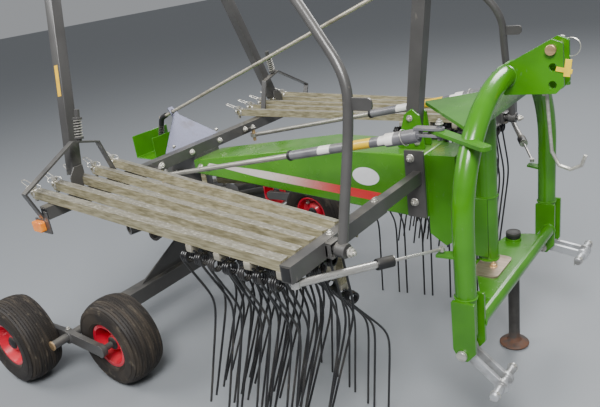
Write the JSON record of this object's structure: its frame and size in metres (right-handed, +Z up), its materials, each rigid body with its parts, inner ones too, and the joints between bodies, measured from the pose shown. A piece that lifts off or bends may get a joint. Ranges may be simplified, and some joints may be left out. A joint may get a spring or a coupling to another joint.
{
  "type": "hay rake",
  "caption": "Mounted single rotor hay rake with a swivelling three-point headstock, racked tine arms, folding side guards and tandem ground wheels.",
  "frame": {"origin": "on the ground at the middle of the machine's length and width", "axes": "+X forward to the tractor, +Y to the machine's left, +Z up"},
  "size_m": [2.4211, 2.148, 1.832],
  "materials": {
    "green_paint": "glossy green paint, dusty",
    "grey_paint": "dark grey paint, dusty",
    "galvanised": "dull zinc with dust",
    "tine_steel": "black spring steel",
    "plated_steel": "yellow passivated zinc",
    "cast_silver": "silver paint on castings",
    "barrel_paint": "black paint with blank labels",
    "lamp_plastic": "orange lens",
    "tyre": "ribbed, dusty rubber",
    "rim_paint": "red paint with dust"
  },
  "bodies": {
    "frame": {"main_beam": "green_paint", "beam_head": "green_paint", "right_front_bar": "grey_paint", "left_front_bar": "grey_paint", "rear_bar": "grey_paint", "strut_pins": "plated_steel", "rear_bows": "grey_paint", "right_rack_arms": "galvanised", "left_rack_arms": "galvanised", "right_rack_tines": "tine_steel", "left_rack_tines": "tine_steel", "low_arms": "galvanised", "low_tines": "tine_steel", "gearbox": "grey_paint", "axle": "grey_paint", "right_rocker": "grey_paint", "left_rocker": "grey_paint", "post_lugs": "green_paint", "upright_post": "grey_paint", "stay_rod": "galvanised", "crank_bracket": "galvanised", "rear_channel": "green_paint", "lamp_plates": "galvanised", "lamps": "lamp_plastic"},
    "headstock": {"headstock_frame": "green_paint", "lower_crossmember": "green_paint", "top_link_bracket": "green_paint", "top_link_pin": "plated_steel", "hitch_bolts": "galvanised", "swivel_pin": "galvanised", "shaft_hook": "galvanised"},
    "parking_stand": {"parking_stand": "grey_paint"},
    "rotor": {"rotor_housing": "grey_paint"},
    "right_link_lever": {"right_link_lever": "cast_silver"},
    "right_strut_barrel": {"right_strut_barrel": "barrel_paint"},
    "right_strut_rod": {"right_strut_rod": "galvanised"},
    "right_brace_tube": {"right_brace_tube": "galvanised"},
    "right_brace_rod": {"right_brace_rod": "galvanised"},
    "right_guard": {"right_guard": "grey_paint"},
    "right_front_wheel": {"right_front_tyre": "tyre", "right_front_rim": "rim_paint"},
    "right_rear_wheel": {"right_rear_tyre": "tyre", "right_rear_rim": "rim_paint"},
    "left_link_lever": {"left_link_lever": "cast_silver"},
    "left_strut_barrel": {"left_strut_barrel": "barrel_paint"},
    "left_strut_rod": {"left_strut_rod": "galvanised"},
    "left_brace_tube": {"left_brace_tube": "galvanised"},
    "left_brace_rod": {"left_brace_rod": "galvanised"},
    "left_guard": {"left_guard": "grey_paint"},
    "left_front_wheel": {"left_front_tyre": "tyre", "left_front_rim": "rim_paint"},
    "left_rear_wheel": {"left_rear_tyre": "tyre", "left_rear_rim": "rim_paint"}
  },
  "joints": [
    {"name": "headstock_swing", "type": "hinge", "parent": "frame", "child": "headstock", "pos_m": [0.869, 0, 0.8], "axis": [0, 0, 1], "range_deg": [-8, 8]},
    {"name": "stand_slide", "type": "slide", "parent": "headstock", "child": "parking_stand", "axis": [0, 0, 1], "range_m": [0, 0.28]},
    {"name": "right_lever_tilt", "type": "hinge", "parent": "headstock", "child": "right_link_lever", "pos_m": [0.957, -0.428, 0.388], "axis": [0, 1, 0], "range_deg": [-63.7, 26.3]},
    {"name": "left_lever_tilt", "type": "hinge", "parent": "headstock", "child": "left_link_lever", "pos_m": [0.957, 0.428, 0.388], "axis": [0, 1, 0], "range_deg": [-32.5, 57.5]},
    {"name": "right_strut_pivot", "type": "hinge", "parent": "headstock", "child": "right_strut_barrel", "pos_m": [0.829, -0.288, 1.092], "axis": [0, 0, 1], "range_deg": [-9, 9]},
    {"name": "right_strut_slide", "type": "slide", "parent": "right_strut_barrel", "child": "right_strut_rod", "axis": [-0.9811, -0.0311, -0.1909], "range_m": [-0.045, 0.045]},
    {"name": "right_brace_pivot", "type": "hinge", "parent": "frame", "child": "right_brace_tube", "pos_m": [0.646, -0.893, 0.808], "axis": [0, 0, 1], "range_deg": [-7, 7]},
    {"name": "right_brace_slide", "type": "slide", "parent": "right_brace_tube", "child": "right_brace_rod", "axis": [0.4781, 0.8722, -0.1034], "range_m": [-0.036, 0.036]},
    {"name": "left_strut_pivot", "type": "hinge", "parent": "headstock", "child": "left_strut_barrel", "pos_m": [0.829, 0.288, 1.092], "axis": [0, 0, 1], "range_deg": [-9, 9]},
    {"name": "left_strut_slide", "type": "slide", "parent": "left_strut_barrel", "child": "left_strut_rod", "axis": [-0.9811, 0.0311, -0.1909], "range_m": [-0.045, 0.045]},
    {"name": "left_brace_pivot", "type": "hinge", "parent": "frame", "child": "left_brace_tube", "pos_m": [0.646, 0.893, 0.808], "axis": [0, 0, 1], "range_deg": [-7, 7]},
    {"name": "left_brace_slide", "type": "slide", "parent": "left_brace_tube", "child": "left_brace_rod", "axis": [0.4781, -0.8722, -0.1034], "range_m": [-0.036, 0.036]},
    {"name": "rotor_spin", "type": "hinge", "parent": "frame", "child": "rotor", "pos_m": [-0.773, 0, 0.515], "axis": [0, 0, 1], "continuous": true},
    {"name": "right_guard_fold", "type": "hinge", "parent": "frame", "child": "right_guard", "pos_m": [0.711, -0.734, 0.855], "axis": [0.9965, -0.0376, -0.0752], "range_deg": [0, 80]},
    {"name": "left_guard_fold", "type": "hinge", "parent": "frame", "child": "left_guard", "pos_m": [0.711, 0.734, 0.855], "axis": [-0.9965, -0.0376, 0.0752], "range_deg": [0, 80]},
    {"name": "right_front_wheel_spin", "type": "hinge", "parent": "frame", "child": "right_front_wheel", "pos_m": [-0.54, -0.774, 0.2045], "axis": [0, 1, 0], "continuous": true},
    {"name": "right_rear_wheel_spin", "type": "hinge", "parent": "frame", "child": "right_rear_wheel", "pos_m": [-1.006, -0.988, 0.2045], "axis": [0, 1, 0], "continuous": true},
    {"name": "left_front_wheel_spin", "type": "hinge", "parent": "frame", "child": "left_front_wheel", "pos_m": [-0.54, 0.774, 0.2045], "axis": [0, 1, 0], "continuous": true},
    {"name": "left_rear_wheel_spin", "type": "hinge", "parent": "frame", "child": "left_rear_wheel", "pos_m": [-1.006, 0.988, 0.2045], "axis": [0, 1, 0], "continuous": true}
  ],
  "couplings": [
    {"joint": "right_strut_pivot", "follows": "headstock_swing", "ratio": -1.035},
    {"joint": "right_strut_slide", "follows": "headstock_swing", "m_per_rad": 0.2908},
    {"joint": "right_brace_pivot", "follows": "headstock_swing", "ratio": -0.733},
    {"joint": "right_brace_slide", "follows": "headstock_swing", "m_per_rad": 0.23},
    {"joint": "left_strut_pivot", "follows": "headstock_swing", "ratio": -1.035},
    {"joint": "left_strut_slide", "follows": "headstock_swing", "m_per_rad": -0.2908},
    {"joint": "left_brace_pivot", "follows": "headstock_swing", "ratio": -0.733},
    {"joint": "left_brace_slide", "follows": "headstock_swing", "m_per_rad": -0.23}
  ]
}
